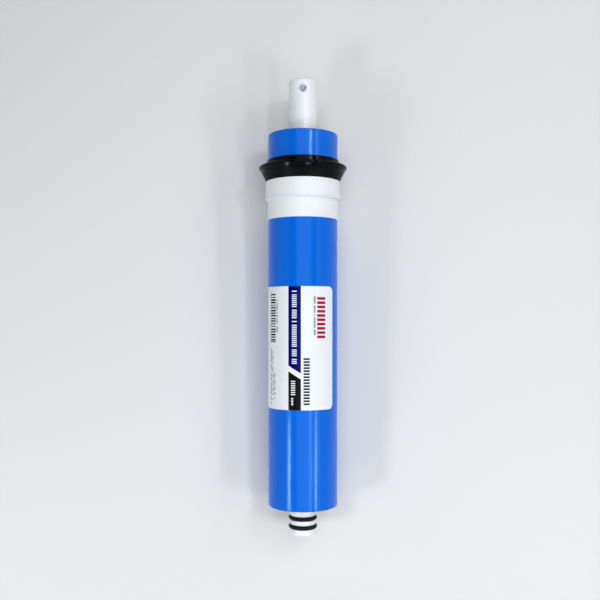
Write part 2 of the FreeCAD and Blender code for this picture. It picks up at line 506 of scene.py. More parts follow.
# --- finishes
@dataclass(frozen=True)
class Grain:
    """Smooth noise over the element.

    Attributes:
        scale: how many lumps it has to a millimetre.
        detail: how many finer layers it has.
        stretch: how many lumps lie along the element for each one across it.
        depth: how far it raises the surface, in millimetres.
        tint: its share in the mix of two colours.
        rough: how much rougher it makes the surface.
    """

    scale: float
    detail: float = 2.0
    stretch: float = 1.0
    depth: float = 0.0
    tint: float = 0.0
    rough: float = 0.0

    def at(self, place: Place) -> Value:
        """The noise at a surface point, from 0 to 1."""
        vector = place.vector if self.stretch == 1.0 else place.drawn_out(self.stretch)
        return place.across.graph.noise(vector, self.scale, self.detail)

    def bump(self, height: Value, under: object = None) -> bpy.types.NodeSocket:
        """The normal of a surface that the noise, as height, raises."""
        return height.graph.bump(height, self.depth, under)


@dataclass(frozen=True)
class Finish:
    """What the finishes of the element have in common."""

    name: str

    def start(self, rest: Rest) -> tuple[Graph, Place]:
        """Starts the material, and finds the surface point in it."""
        graph = Graph(self.name)
        return graph, Place.of(graph, rest)


@dataclass(frozen=True)
class MouldedPlastic(Finish):
    """White moulded or extruded plastic, a little milky, with faint draw lines along it."""

    colour: Colour = (0.85, 0.89, 0.925)
    shade: Colour = (0.80, 0.845, 0.88)
    roughness: float = 0.22
    lines: Grain = Grain(1.1, stretch=0.01, depth=0.03, tint=0.3)
    mottle: Grain = Grain(0.12, depth=0.05, tint=0.7)
    wear: Grain = Grain(0.9, rough=0.06)
    shaded: Band = (0.35, 0.7)

    def material(self, rest: Rest) -> bpy.types.Material:
        """Builds the finish.

        Args:
            rest: the element's place.

        Returns:
            The material.
        """
        graph, place = self.start(rest)
        lines, mottle = self.lines.at(place), self.mottle.at(place)
        shade = mottle * self.mottle.tint + lines * self.lines.tint
        colour = graph.blend(graph.ramp(shade, *self.shaded), self.colour, self.shade)
        normal = self.lines.bump(lines, self.mottle.bump(mottle))
        constants = {"IOR": PLASTIC_IOR, "Subsurface Weight": 0.1, "Subsurface Scale": 2 * MM}
        roughness = self.roughness + self.wear.at(place) * self.wear.rough
        return graph.surface(constants, colour, roughness, normal)


@dataclass(frozen=True)
class SmoothRubber(Finish):
    """Black moulded rubber with specks of dust, duller away from an edge that handling polishes.

    Attributes:
        colour: the clean rubber.
        dust: what lies on it.
        roughness: that of the polished rubber.
        dull: how much rougher the rest is.
        polished: the stations between which the polish wears off.
        gloss: how glossy it is, where a plain plastic is 0.5.
        grain: its fine grain.
        cloud: how uneven its face is.
        speck: what the specks of dust are picked from.
        picked: the level of that noise at a speck's edge, and how soft the edge is.
    """

    colour: Colour = (0.0011, 0.0012, 0.0015)
    dust: Colour = (0.022, 0.023, 0.025)
    roughness: float = 0.16
    dull: float = 0.0
    polished: Band = (0.0, 1.0)
    gloss: float = 0.085
    grain: Grain = Grain(4.5, depth=0.012)
    cloud: Grain = Grain(0.22, detail=4.0, depth=0.15, tint=0.05, rough=0.08)
    speck: Grain = Grain(2.2, detail=1.0, tint=0.4, rough=0.2)
    picked: Band = (0.74, 0.04)

    def material(self, rest: Rest) -> bpy.types.Material:
        """Builds the finish.

        Args:
            rest: the element's place.

        Returns:
            The material.
        """
        graph, place = self.start(rest)
        cloud, grain = self.cloud.at(place), self.grain.at(place)
        speck = self.speck.at(place).above(*self.picked)
        dusty = speck * self.speck.tint + cloud * self.cloud.tint
        colour = graph.blend(dusty, self.colour, self.dust)
        worn = graph.ramp(place.station, *self.polished) * self.dull
        roughness = self.roughness + worn + cloud * self.cloud.rough + speck * self.speck.rough
        normal = self.grain.bump(grain, self.cloud.bump(cloud))
        constants = {"IOR": PLASTIC_IOR, "Specular IOR Level": self.gloss}
        return graph.surface(constants, colour, roughness, normal)


@dataclass(frozen=True)
class WrapTape(Finish):
    """Glossy blue tape, pulled tight, with its free end pressed down in a line along the roll."""

    colour: Colour = (0.0, 0.14, 0.74)
    shade: Colour = (0.0, 0.115, 0.66)
    glint: Colour = (0.45, 0.85, 1.0)
    gloss: float = 0.34
    roughness: float = 0.16
    pull: Grain = Grain(0.35, stretch=0.012, depth=0.02, tint=0.5)
    ripple: Grain = Grain(0.12, stretch=0.25, depth=0.05, rough=0.05)
    free_end: float = 148.0
    end_width: float = 0.5
    end_soft: float = 0.6
    end_height: float = 0.06
    end_tint: float = 0.5

    def material(self, rest: Rest) -> bpy.types.Material:
        """Builds the finish.

        Args:
            rest: the element's place.

        Returns:
            The material.
        """
        graph, place = self.start(rest)
        pull, ripple = self.pull.at(place), self.ripple.at(place)
        step = place.angle().above(self.free_end, self.end_width)
        low, high = self.free_end - self.end_width, self.free_end + self.end_width
        edge = place.angle().within(low, high, self.end_soft)
        shade = pull * self.pull.tint + edge * self.end_tint
        colour = graph.blend(shade, self.colour, self.shade)
        pulled = self.ripple.bump(ripple, self.pull.bump(pull))
        normal = graph.bump(step, self.end_height, pulled)
        roughness = self.roughness + ripple * self.ripple.rough
        gloss = {"Specular IOR Level": self.gloss, "Specular Tint": rgba(self.glint)}
        constants = {"IOR": PLASTIC_IOR, **gloss}
        return graph.surface(constants, colour, roughness, normal)


@dataclass(frozen=True)
class WhiteTape(Finish):
    """White vinyl tape, stretched over the seal's skirt, with small creases where it steps down,
    and painted shade that darkens its colour in those creases along the step.
    """

    step_station: float
    colour: Colour = (0.855, 0.89, 0.92)
    shade: Colour = (0.70, 0.745, 0.785)
    roughness: float = 0.34
    # creases raised as bumps, whose noise also paints shade into the colour near the step
    crease_and_shade: Grain = Grain(0.9, detail=3.0, stretch=0.18, depth=0.35, tint=0.8)
    weave: Grain = Grain(3.0, depth=0.012, rough=0.08)
    cloud: Grain = Grain(0.12, detail=3.0, tint=0.22)
    # how far from the step the creases, and the painted shade in them, fade out, in millimetres
    creased: Band = (0.3, 3.2)
    elsewhere: float = 0.15
    free_end: float = -128.0
    end_width: float = 0.5
    end_height: float = 0.1

    def material(self, rest: Rest) -> bpy.types.Material:
        """Builds the finish.

        Args:
            rest: the element's place.

        Returns:
            The material.
        """
        graph, place = self.start(rest)
        near_step = 1 - graph.ramp(abs(place.station - self.step_station), *self.creased)
        crease_and_shade, weave = self.crease_and_shade.at(place), self.weave.at(place)
        step = place.angle().above(self.free_end, self.end_width)
        # painted shade: near the step the colour darkens with the crease noise, standing in for
        # shade at the step and in its creases; the cloud adds random tone
        shade = near_step * crease_and_shade * self.crease_and_shade.tint + self.cloud.at(place) * self.cloud.tint
        colour = graph.blend(shade, self.colour, self.shade)
        share = self.elsewhere + near_step * (1 - self.elsewhere)
        creased = self.crease_and_shade.bump(crease_and_shade * share)
        normal = graph.bump(step, self.end_height, self.weave.bump(weave, creased))
        roughness = self.roughness + weave * self.weave.rough
        return graph.surface({"IOR": 1.5}, colour, roughness, normal)


@dataclass(frozen=True)
class Block:
    """A rectangle on the label: degrees from the side that faces up, and stations.

    Attributes:
        left: its left edge, in degrees.
        right: its right edge, in degrees.
        start: the station nearest to the feed tip.
        end: the station nearest to the outlet.
    """

    left: float
    right: float
    start: float
    end: float


@dataclass(frozen=True)
class Row:
    """A row of plain strokes in a block, which stands where a line of small print would.

    Attributes:
        block: the row's place.
        pitch: how far apart the strokes are, in millimetres along the element.
        filled: the share of the pitch that a stroke takes.
        gaps: the share of the strokes that are left out.
        seed: picks the strokes that are left out.
    """

    block: Block
    pitch: float
    filled: float
    gaps: float = 0.0
    seed: float = 0.0


@dataclass(frozen=True)
class Bars:
    """Crossing bars of uneven width, drawn at random.

    Attributes:
        block: their place.
        pitch: how much room each bar has, in millimetres along the element.
        least: the narrowest bar, as a share of the pitch.
        varied: how much wider the widest is, as a share of the pitch.
        shift: how far on a bar may start, as a share of the pitch.
        seed: picks where the bars start.
    """

    block: Block
    pitch: float
    least: float = 0.42
    varied: float = 0.35
    shift: float = 0.2
    seed: float = 61.0


@dataclass(frozen=True)
class Plot:
    """Masks of plain shapes on the label.

    Attributes:
        angle: degrees from the side that faces up.
        station: millimetres from the feed tip.
        soft_angle: how wide an edge is across the element, in degrees.
        soft: how wide an edge is along the element, in millimetres.
    """

    angle: Value
    station: Value
    soft_angle: float
    soft: float

    def block(self, block: Block) -> Value:
        """A solid rectangle."""
        across = self.angle.within(block.left, block.right, self.soft_angle)
        return across * self.station.within(block.start, block.end, self.soft)

    def row(self, row: Row) -> Value:
        """A rectangle cut into strokes.

        Args:
            row: the rectangle and its strokes.

        Returns:
            The mask.
        """
        cell = (self.station - row.block.start) / row.pitch
        edge = self.soft / row.pitch
        stroke = (cell % 1.0).within((1 - row.filled) / 2, (1 + row.filled) / 2, edge)
        mask = self.block(row.block) * stroke
        if row.gaps:
            mask = mask * self.angle.graph.random(cell + row.seed).above(row.gaps, 0.01)
        return mask

    def bars(self, bars: Bars) -> Value:
        """Crossing bars, which say nothing.

        Args:
            bars: their place and widths.

        Returns:
            The mask.
        """
        graph = self.angle.graph
        cell = (self.station - bars.block.start) / bars.pitch
        edge = self.soft / bars.pitch
        start = graph.random(cell + bars.seed) * bars.shift
        end = start + graph.random(cell) * bars.varied + bars.least
        return self.block(bars.block) * (cell % 1.0).within(start + edge, end, edge)

    def slanted(self, ends: Band, lean: Value) -> Value:
        """What lies beyond an edge that runs from one station to another as lean grows to 1."""
        return self.station.above(lean * (ends[1] - ends[0]) + ends[0], self.soft)

    def arrows(self, block: Block, count: int) -> Value:
        """Solid arrowheads in a row, which point to the outlet.

        Args:
            block: the row's place.
            count: how many there are.

        Returns:
            The mask.
        """
        step = ((self.station - block.start) * (count / (block.end - block.start))) % 1.0
        half = (block.right - block.left) / 2
        off_centre = abs(self.angle - (block.left + half)) / half
        tip, slope, soft = 0.92, 0.85, 0.15
        return (tip - step - off_centre * slope).above(0.0, soft) * self.block(block)


@dataclass(frozen=True)
class PrintedFilm(Finish):
    """The label's white film, with bands, strokes, bars and arrowheads for its print."""

    radius: float
    film: Colour = (0.86, 0.895, 0.92)
    film_shade: Colour = (0.78, 0.82, 0.86)
    navy: Colour = (0.0, 0.0012, 0.14)
    black: Colour = (0.004, 0.004, 0.006)
    red: Colour = (0.40, 0.012, 0.03)
    grey: Colour = (0.03, 0.033, 0.04)
    band: Band = (-23.9, -3.3)
    navy_ends: Band = (185.4, 190.3)
    black_starts: Band = (188.9, 194.1)
    arrows: Block = Block(-19.5, -15.2, 205.9, 211.0)
    arrow_count: int = 3
    white_rows: tuple[Row, ...] = (
        Row(Block(-17.9, -10.0, 137.6, 184.6), 1.2, 0.55, 0.14, 3.0),
        Row(Block(-19.4, -12.4, 194.6, 204.6), 1.4, 0.5),
    )
    red_rows: tuple[Row, ...] = (Row(Block(23.0, 38.3, 141.4, 168.5), 2.71, 0.64),)
    black_rows: tuple[Row, ...] = (Row(Block(0.8, 10.7, 180.2, 210.7), 1.906, 0.6),)
    grey_rows: tuple[Row, ...] = (
        Row(Block(17.2, 20.4, 141.4, 167.3), 0.95, 0.6, 0.2, 7.0),
        Row(Block(-48.0, -45.0, 143.5, 165.0), 0.95, 0.6, 0.25, 11.0),
        Row(Block(-64.2, -61.4, 175.0, 210.8), 0.9, 0.62, 0.18, 23.0),
        Row(Block(-59.0, -56.2, 176.5, 209.0), 0.9, 0.62, 0.2, 31.0),
        Row(Block(-53.8, -51.0, 190.0, 207.0), 0.9, 0.62, 0.22, 47.0),
    )
    bars: Bars = Bars(Block(-64.6, -49.8, 139.4, 171.5), 1.7)
    soft: float = 0.12
    gloss: float = 0.1
    roughness: float = 0.3
    ink_shine: float = 0.08
    cloud: Grain = Grain(0.3, stretch=0.2, depth=0.2, tint=0.2)

    def material(self, rest: Rest) -> bpy.types.Material:
        """Builds the finish.

        Args:
            rest: the element's place.

        Returns:
            The material.
        """
        graph, place = self.start(rest)
        soft_angle = math.degrees(self.soft / self.radius)
        plot = Plot(place.angle(), place.station, soft_angle, self.soft)
        low, high = self.band
        lean = (plot.angle - low) / (high - low)
        band = plot.angle.within(low, high, plot.soft_angle)
        black = [*map(plot.row, self.black_rows), plot.bars(self.bars)]
        layers = (
            (graph.either(map(plot.row, self.grey_rows)), self.grey),
            (graph.either(black), self.black),
            (graph.either(map(plot.row, self.red_rows)), self.red),
            (band * (1 - plot.slanted(self.navy_ends, lean)), self.navy),
            (band * plot.slanted(self.black_starts, lean), self.black),
        )
        cloud = self.cloud.at(place)
        colour = graph.blend(cloud * self.cloud.tint, self.film, self.film_shade)
        for mask, ink in layers:
            colour = graph.blend(mask, colour, ink)
        arrows = plot.arrows(self.arrows, self.arrow_count)
        white = graph.either([*map(plot.row, self.white_rows), arrows])
        colour = graph.blend(white, colour, self.film)
        inked = graph.either([mask for mask, _ in layers])
        normal = self.cloud.bump(cloud)
        constants = {"IOR": PLASTIC_IOR, "Specular IOR Level": self.gloss}
        roughness = self.roughness - inked * self.ink_shine
        return graph.surface(constants, colour, roughness, normal)


@dataclass(frozen=True)
class WoundSheet(Finish):
    """A wound sheet, whose cut ends show glue or fibres.

    Attributes:
        colour: the plain sheet.
        end_colour: the sheet near its ends.
        ends: the stations of the roll's ends.
        soaked: how far in from them that colour reaches, in millimetres.
        roughness: that of the plain sheet.
        end_shine: how much less rough it is at its ends.
        fibre: its fibres.
        blotch: what makes the end colour's edge uneven.
        blotched: how far that moves the edge, in millimetres.
        fades: the distances from the edge between which the end colour sets in.
    """

    colour: Colour
    end_colour: Colour
    ends: Band
    soaked: float
    roughness: float = 0.55
    end_shine: float = 0.15
    fibre: Grain = Grain(2.6, detail=3.0, depth=0.06, tint=0.45, rough=0.1)
    blotch: Grain = Grain(0.35, detail=3.0)
    blotched: float = 1.5
    fades: Band = (0.0, 2.0)

    def material(self, rest: Rest) -> bpy.types.Material:
        """Builds the finish.

        Args:
            rest: the element's place.

        Returns:
            The material.
        """
        graph, place = self.start(rest)
        middle, half = sum(self.ends) / 2, (self.ends[1] - self.ends[0]) / 2
        reach = abs(place.station - middle) - (half - self.soaked)
        fibre = self.fibre.at(place)
        near_end = graph.ramp(reach + self.blotch.at(place) * self.blotched, *self.fades)
        fibrous = 1 - self.fibre.tint + fibre * self.fibre.tint
        colour = graph.blend(near_end * fibrous, self.colour, self.end_colour)
        normal = self.fibre.bump(fibre)
        roughness = self.roughness - near_end * self.end_shine + fibre * self.fibre.rough
        return graph.surface({"IOR": 1.48}, colour, roughness, normal)


@dataclass(frozen=True)
class PaleFloor:
    """A plain pale floor that fades into the backdrop.

    Attributes:
        name: the material's name.
        fades: how far from the middle it starts to fade, and is gone, in metres.
        colour: its colour.
    """

    name: str
    fades: Band = (0.45, 1.15)
    colour: Colour = (0.76, 0.77, 0.78)

    def material(self) -> bpy.types.Material:
        """Builds the finish.

        Returns:
            The material.
        """
        graph = Graph(self.name)
        place = graph.node("TexCoord").outputs["Object"]
        away = graph.node("VectorMath", {"operation": "LENGTH"}, {0: place}).outputs["Value"]
        share = graph.ramp(away, *self.fades)
        matt = graph.node("BsdfDiffuse", {}, {"Color": rgba(self.colour)}).outputs[0]
        clear = graph.node("BsdfTransparent").outputs[0]
        mixed = graph.node("MixShader", {}, {0: share, 1: matt, 2: clear}).outputs[0]
        graph.node("OutputMaterial", {}, {"Surface": mixed})
        return graph.material


# --- sub-assemblies
@dataclass
class SubAssembly:
    """What every sub-assembly does with a finished piece.

    Attributes:
        rest: the element's place in the frame.
    """

    rest: Rest

    def keep(
        self,
        piece: bpy.types.Object,
        finish: Finish,
        slot: Slot,
        stands_for: Sequence[str] = (),
        sharp: float = 35.0,
        turned: float = 0.0,
    ) -> None:
        """Smooths a piece, lays it down, dresses it and hands it to the frame.

        Args:
            piece: a piece modelled upright.
            finish: its finish.
            slot: the record's slot for that finish; not used.
            stands_for: the CAD nodes that it replaces.
            sharp: from how many degrees an edge stays sharp.
            turned: degrees by which it is turned about the element's axis.
        """
        alone(piece)
        bpy.ops.object.shade_smooth_by_angle(angle=math.radians(sharp))
        self.rest.lay_down(piece, turned)
        dress(piece, finish.material(self.rest))
        if stands_for:
            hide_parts(*stands_for)
        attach(piece, "root")
        nodes = ", ".join(stands_for) or "no node"
        LOG.info("%s: %d faces, for %s", piece.name, len(piece.data.polygons), nodes)


@dataclass
class ProductTube(SubAssembly):
    """The white product water tube: pull hole at the feed tip, drain holes, grooved spigot."""

    length: float = 298.0
    radius: float = 9.1
    tip_rounding: float = 1.0
    bore: float = 5.5
    mouth_rounding: float = 0.5
    seat: float = 5.8
    seat_end: float = 24.0
    shoulder: float = 278.2
    spigot: float = 8.4
    nose_rounding: float = 0.8
    groove_floor: float = 7.0
    groove_width: float = 3.0
    edge_rounding: float = 0.15
    ring_stations: tuple[float, ...] = (286.8, 292.6)
    pull_hole: Point = (2.45, 6.4)
    hole_margin: float = 3.4
    drain_holes: tuple[Point, ...] = ((0.9, 77.0), (0.9, 157.0), (0.9, 237.0))
    finish: MouldedPlastic = MouldedPlastic("tube_plastic")

    def profile(self) -> list[Corner]:
        """The corners of the wall.

        Returns:
            The corners in order, from the mouth at the feed tip round the outside and back.
        """
        edge, mouth = self.edge_rounding, self.mouth_rounding
        corners = [(self.seat, 0, mouth), (self.radius, 0, self.tip_rounding)]
        for side in (-1, 1):
            corners += [(self.radius, self.pull_hole[1] + side * self.hole_margin, 0)]
        corners += [(self.radius, self.shoulder, edge), (self.spigot, self.shoulder, 0)]
        for station in self.ring_stations:
            near, far = station - self.groove_width / 2, station + self.groove_width / 2
            corners += [(self.spigot, near, edge), (self.groove_floor, near, edge)]
            corners += [(self.groove_floor, far, edge), (self.spigot, far, edge)]
        corners += [(self.spigot, self.length, self.nose_rounding), (self.bore, self.length, mouth)]
        return corners + [(self.bore, self.seat_end, 0), (self.seat, self.seat_end, 0)]

    def drill(self, tube: bpy.types.Object) -> None:
        """Bores the cross holes right through the tube.

        Args:
            tube: the turned tube.
        """
        for index, (radius, station) in enumerate((self.pull_hole, *self.drain_holes)):
            lying = (0, math.pi / 2, 0) if index % 2 else (math.pi / 2, 0, 0)
            bpy.ops.object.select_all(action="DESELECT")
            bpy.ops.mesh.primitive_cylinder_add(
                vertices=48,
                radius=radius,
                depth=3 * self.radius,
                location=(0, 0, station),
                rotation=lying,
            )
            drill = bpy.context.object
            modify(tube, "BOOLEAN", operation="DIFFERENCE", object=drill, solver="EXACT")
            bpy.data.objects.remove(drill)

    def build(self) -> None:
        """Turns, drills and dresses the tube."""
        start = (self.seat, self.seat_end / 2)
        tube = Lathe("tube", start).round_corners(self.profile(), start).turned(steps=108)
        self.drill(tube)
        self.keep(tube, self.finish, Slot.TUBE, ["permeate_tube"])


@dataclass
class TubePlug(SubAssembly):
    """The plug bonded in the tube, whose CAD shape stays as it is."""

    node: str = "tube_plug"
    finish: MouldedPlastic = MouldedPlastic("plug_plastic", (0.62, 0.64, 0.66), (0.5, 0.52, 0.55))

    def build(self) -> None:
        """Dresses the plug."""
        dress(frame["nodes"][self.node], self.finish.material(self.rest))
        LOG.info("%s: dressed", self.node)


@dataclass
class ORing(SubAssembly):
    """An O-ring in its groove, with the fine flash that its mould leaves round the outside."""

    name: str
    node: str
    station: float
    centre: float = 8.25
    section: float = 2.5
    flash: float = 0.04
    finish: SmoothRubber = SmoothRubber("ring_rubber", (0.011, 0.013, 0.017), roughness=0.18)

    def build(self) -> None:
        """Turns and dresses the ring."""
        radius = self.section / 2
        lift = math.asin(self.flash / radius)
        start = (self.centre + radius * math.cos(lift), self.station + self.flash)
        ring = Lathe(self.name, start)
        ring.arc((self.centre, self.station), 360 - math.degrees(2 * lift), steps=32)
        crest = self.centre + radius + self.flash
        ring.line((crest, self.station - self.flash / 2), (crest, self.station + self.flash / 2))
        self.keep(ring.turned(steps=96), self.finish, Slot.O_RING, [self.node], sharp=50.0)


@dataclass
class Roll(SubAssembly):
    """The rolled leaf: membrane folded about the net, carrier behind it, and the net's cut ends.

    A winding is made of half circles.  Each is half a pitch larger than the one before, and every
    second one is centred half a pitch to the side, so that they run on smoothly.
    """

    core: float = 9.1
    membrane: float = 0.15
    spacer: float = 0.86
    carrier: float = 0.31
    half_turns: int = 16
    started_at: float = -119.7
    ends: Band = (36.2, 277.8)
    carrier_back: float = 0.25
    net_back: float = 0.5
    steps: int = 40
    fold_steps: int = 12
    strand: float = 0.44
    strand_pitch: float = 2.8
    strand_depth: float = 5.4
    strand_steps: int = 3

    @property
    def pitch(self) -> float:
        """How much farther out each whole turn lies."""
        return 2 * self.membrane + self.spacer + self.carrier

    def wind(self, half_turns: Iterable[int], way: Turn) -> None:
        """Spins what is selected on through some half turns.

        Args:
            half_turns: the number of each half turn, counted from the tube.
            way: outwards is forwards, and inwards backwards.
        """
        for index in half_turns:
            centre = (index % 2 * self.pitch / 2, 0, 0)
            axis = (0, 0, way.value)
            bpy.ops.mesh.spin(steps=self.steps, angle=math.pi, center=centre, axis=axis)

    def section(self, name: str, radius: float, thickness: float, back: float) -> bpy.types.Object:
        """The lengthwise section of a sheet where it crosses the line that the winding starts at.

        Args:
            name: the sheet's name.
            radius: its inner face's distance from the axis.
            thickness: the sheet's thickness.
            back: how far its ends stand in from the roll's.

        Returns:
            The section, open for editing.
        """
        low, high = self.ends[0] + back, self.ends[1] - back
        middle = (radius + thickness / 2, 0, (low + high) / 2)
        plane, upright = bpy.ops.mesh.primitive_plane_add, (math.pi / 2, 0, 0)
        piece = begin(name, plane, size=1, location=middle, rotation=upright)
        bpy.ops.transform.resize(value=(thickness, 1, high - low), center_override=middle)
        return piece

    def membrane_sheet(self) -> bpy.types.Object:
        """Winds the membrane in from the outside, round its fold, and out again on the net.

        Returns:
            The finished sheet.
        """
        outer = self.core + self.pitch * (self.half_turns + 2) / 2
        piece = self.section("membrane", outer, self.membrane, 0)
        self.wind(reversed(range(self.half_turns + 2)), Turn.BACKWARDS)
        fold = (self.core + self.membrane + self.spacer / 2, 0, 0)
        axis = (0, 0, Turn.FORWARDS.value)
        bpy.ops.mesh.spin(steps=self.fold_steps, angle=math.pi, center=fold, axis=axis)
        self.wind(range(self.half_turns), Turn.FORWARDS)
        close()
        return piece

    def carrier_sheet(self) -> bpy.types.Object:
        """Winds the carrier, which lies behind the membrane's second layer.

        Returns:
            The finished sheet.
        """
        inner = self.core + 2 * self.membrane + self.spacer
        piece = self.section("carrier", inner, self.carrier, self.carrier_back)
        self.wind(range(self.half_turns), Turn.FORWARDS)
        close()
        return piece

    def channel_line(self) -> bpy.types.Object:
        """Winds the line that runs in the middle of the feed channel.

        Returns:
            The line, as a flat curve.
        """
        start = (self.core + self.membrane + self.spacer / 2, 0, 0)
        line = begin("channel_line", bpy.ops.mesh.primitive_plane_add, size=1, location=start)
        bpy.ops.mesh.merge(type="CENTER")
        self.wind(range(self.half_turns + 1), Turn.FORWARDS)
        close()
        settle(line)
        bpy.ops.object.convert(target="CURVE")
        line.data.dimensions = "2D"
        return line

    def strand_at(self, station: float, inwards: int, layer: int) -> bpy.types.Object:
        """Draws a short slanting strand out of a six-sided start.

        Args:
            station: where it is cut off, level with the net's end.
            inwards: the way into the roll, as the sign of a change of station.
            layer: 1 for the net's outer layer and -1 for its inner one.

        Returns:
            The strand.
        """
        run = self.strand_depth / self.strand_steps
        place = (self.strand_pitch / 2, layer * (self.spacer - self.strand) / 2, station)
        six_sided = {"vertices": 6, "radius": self.strand / 2, "fill_type": "NGON"}
        strand = begin("net", bpy.ops.mesh.primitive_circle_add, location=place, **six_sided)
        bpy.ops.transform.resize(value=(math.sqrt(2), 1, 1), center_override=place)
        for _ in range(self.strand_steps):
            step = {"value": (layer * run, 0, inwards * run)}
            bpy.ops.mesh.extrude_region_move(TRANSFORM_OT_translate=step)
        close(weld=False)
        return strand

    def strands(self) -> bpy.types.Object:
        """Joins one crossing of the net at each end of the roll.

        Returns:
            The strands of both crossings, as one piece.
        """
        near, far = self.ends[0] + self.net_back, self.ends[1] - self.net_back
        crossings = ((near, 1), (far, -1))
        parts = [self.strand_at(*cut, layer) for cut in crossings for layer in (1, -1)]
        for part in parts:
            part.select_set(True)
        bpy.ops.object.join()
        net = bpy.context.object
        settle(net)
        return net

    def feed_net(self) -> bpy.types.Object:
        """Lays the crossings side by side and winds them along the feed channel.

        Returns:
            The finished net.
        """
        line, net = self.channel_line(), self.strands()
        inner = self.core + self.membrane + self.spacer / 2
        count = self.half_turns + 1
        length = math.pi * (count * inner + self.pitch / 2 * count * (count - 1) / 2)
        modify(
            net,
            "ARRAY",
            count=int(length / self.strand_pitch),
            use_relative_offset=False,
            use_constant_offset=True,
            constant_offset_displace=(self.strand_pitch, 0, 0),
        )
        modify(net, "CURVE", object=line, deform_axis="POS_X")
        bpy.data.objects.remove(line)
        return net

    def build(self) -> None:
        """Winds and dresses the membrane, the carrier and the net."""
        ends = self.ends
        film = WoundSheet("membrane_film", (0.80, 0.80, 0.77), (0.74, 0.71, 0.62), ends, 3.0)
        cloth = WoundSheet("carrier_cloth", (0.78, 0.78, 0.76), (0.46, 0.36, 0.20), ends, 24.0, 0.7)
        net = WoundSheet("net_strands", (0.76, 0.79, 0.80), (0.70, 0.73, 0.74), ends, 2.0, 0.3)
        for piece, finish, slot, nodes, sharp in (
            (self.membrane_sheet(), film, Slot.MEMBRANE, ["membrane_leaf"], 35.0),
            (self.carrier_sheet(), cloth, Slot.MEMBRANE, [], 35.0),
            (self.feed_net(), net, Slot.SPACER, ["feed_spacer"], 60.0),
        ):
            self.keep(piece, finish, slot, nodes, sharp, self.started_at)


@dataclass
class OuterWrap(SubAssembly):
    """The blue tape round the roll, which curls in over the roll's edge at both ends."""

    inner: float = 22.48
    outer: float = 22.85
    ends: Band = (35.3, 278.7)
    curl: float = 0.9
    curled: float = 65.0
    finish: WrapTape = WrapTape("blue_tape")

    def build(self) -> None:
        """Turns and dresses the wrap."""
        thin = self.curl - (self.outer - self.inner)
        centre = self.outer - self.curl
        near, far = self.ends[0] + self.curl, self.ends[1] - self.curl
        tip = math.radians(self.curled)
        wrap = Lathe("wrap", (self.outer, near))
        wrap.line((self.outer, (near + far) / 2), (self.outer, far))
        wrap.arc((centre, far), self.curled, steps=8)
        wrap.line((centre + thin * math.cos(tip), far + thin * math.sin(tip)))
        wrap.arc((centre, far), -self.curled).line((self.inner, near))
        wrap.arc((centre, near), -self.curled)
        wrap.line((centre + self.curl * math.cos(tip), near - self.curl * math.sin(tip)))
        wrap.arc((centre, near), self.curled, steps=8)
        self.keep(wrap.turned(), self.finish, Slot.WRAP, ["outer_wrap"])


@dataclass
class BrineSeal(SubAssembly):
    """The black cup seal: a sleeve, a lip that flares like a trumpet, and a skirt.

    Attributes:
        flare: the radius of the lip's hollow outer face.
        slopes: how far that face leans outwards where it starts and where it ends, in degrees.
        lip: how thick the lip is.
    """

    bore: float = 22.85
    top: float = 52.3
    sleeve: float = 23.85
    sleeve_rounding: float = 0.3
    skirt: float = 24.25
    skirt_start: float = 66.4
    root: Point = (24.3, 66.1)
    end: float = 78.0
    lip: float = 2.2
    flare: float = 23.2
    slopes: Band = (16.4, 39.7)
    finish: SmoothRubber = SmoothRubber(
        "seal_rubber", roughness=0.08, dull=0.3, polished=(59.0, 62.0)
    )

    def build(self) -> None:
        """Turns and dresses the seal."""
        lean, flared = (math.radians(slope) for slope in self.slopes)
        radius, station = self.root
        centre = (radius + self.flare * math.cos(lean), station + self.flare * math.sin(lean))
        inside, middle = self.flare + self.lip, self.flare + self.lip / 2
        open_at = math.acos((centre[0] - self.sleeve) / inside)
        floor = (self.sleeve, centre[1] - inside * math.sin(open_at))
        rim = (centre[0] - middle * math.cos(flared), centre[1] - middle * math.sin(flared))
        half = (self.top + self.skirt_start) / 2
        edges = [(self.bore, self.top, 0), (self.sleeve, self.top, self.sleeve_rounding)]
        seal = Lathe("seal", (self.bore, half)).round_corners(edges, floor)
        seal.arc(centre, math.degrees(flared - open_at), steps=12).arc(rim, 180, steps=10)
        seal.arc(centre, math.degrees(lean - flared), steps=18)
        seal.line((self.skirt, self.skirt_start), (self.skirt, self.end), (self.bore, self.end))
        self.keep(seal.turned(), self.finish, Slot.SEAL, ["brine_seal"])


@dataclass
class SealTape(SubAssembly):
    """The white tape over the seal's skirt, which steps down on to the wrap."""

    thickness: float = 0.22
    skirt: float = 24.25
    wrap: float = 22.85
    start: float = 66.1
    skirt_end: float = 78.0
    end: float = 91.0
    edge_rounding: float = 0.06
    step_rounding: float = 0.6
    step_slope: float = 0.4
    step_foot: float = 0.25

    def build(self) -> None:
        """Turns and dresses the tape."""
        high, low = self.skirt + self.thickness, self.wrap + self.thickness
        step, turn = self.skirt_end + self.thickness, self.step_rounding
        start = (self.skirt, (self.start + self.skirt_end) / 2)
        corners = [
            (self.skirt, self.start, 0),
            (high, self.start, self.edge_rounding),
            (high, step - self.step_slope, turn),
            (low, step + self.step_slope, turn),
            (low, self.end, self.edge_rounding),
            (self.wrap, self.end, 0),
            (self.wrap, step + self.step_foot, turn * 0.6),
            (self.skirt, self.skirt_end, 0),
        ]
        tape = Lathe("tape", start).round_corners(corners, start).turned()
        self.keep(tape, WhiteTape("white_vinyl", step), Slot.TAPE, ["seal_tape"], sharp=50.0)


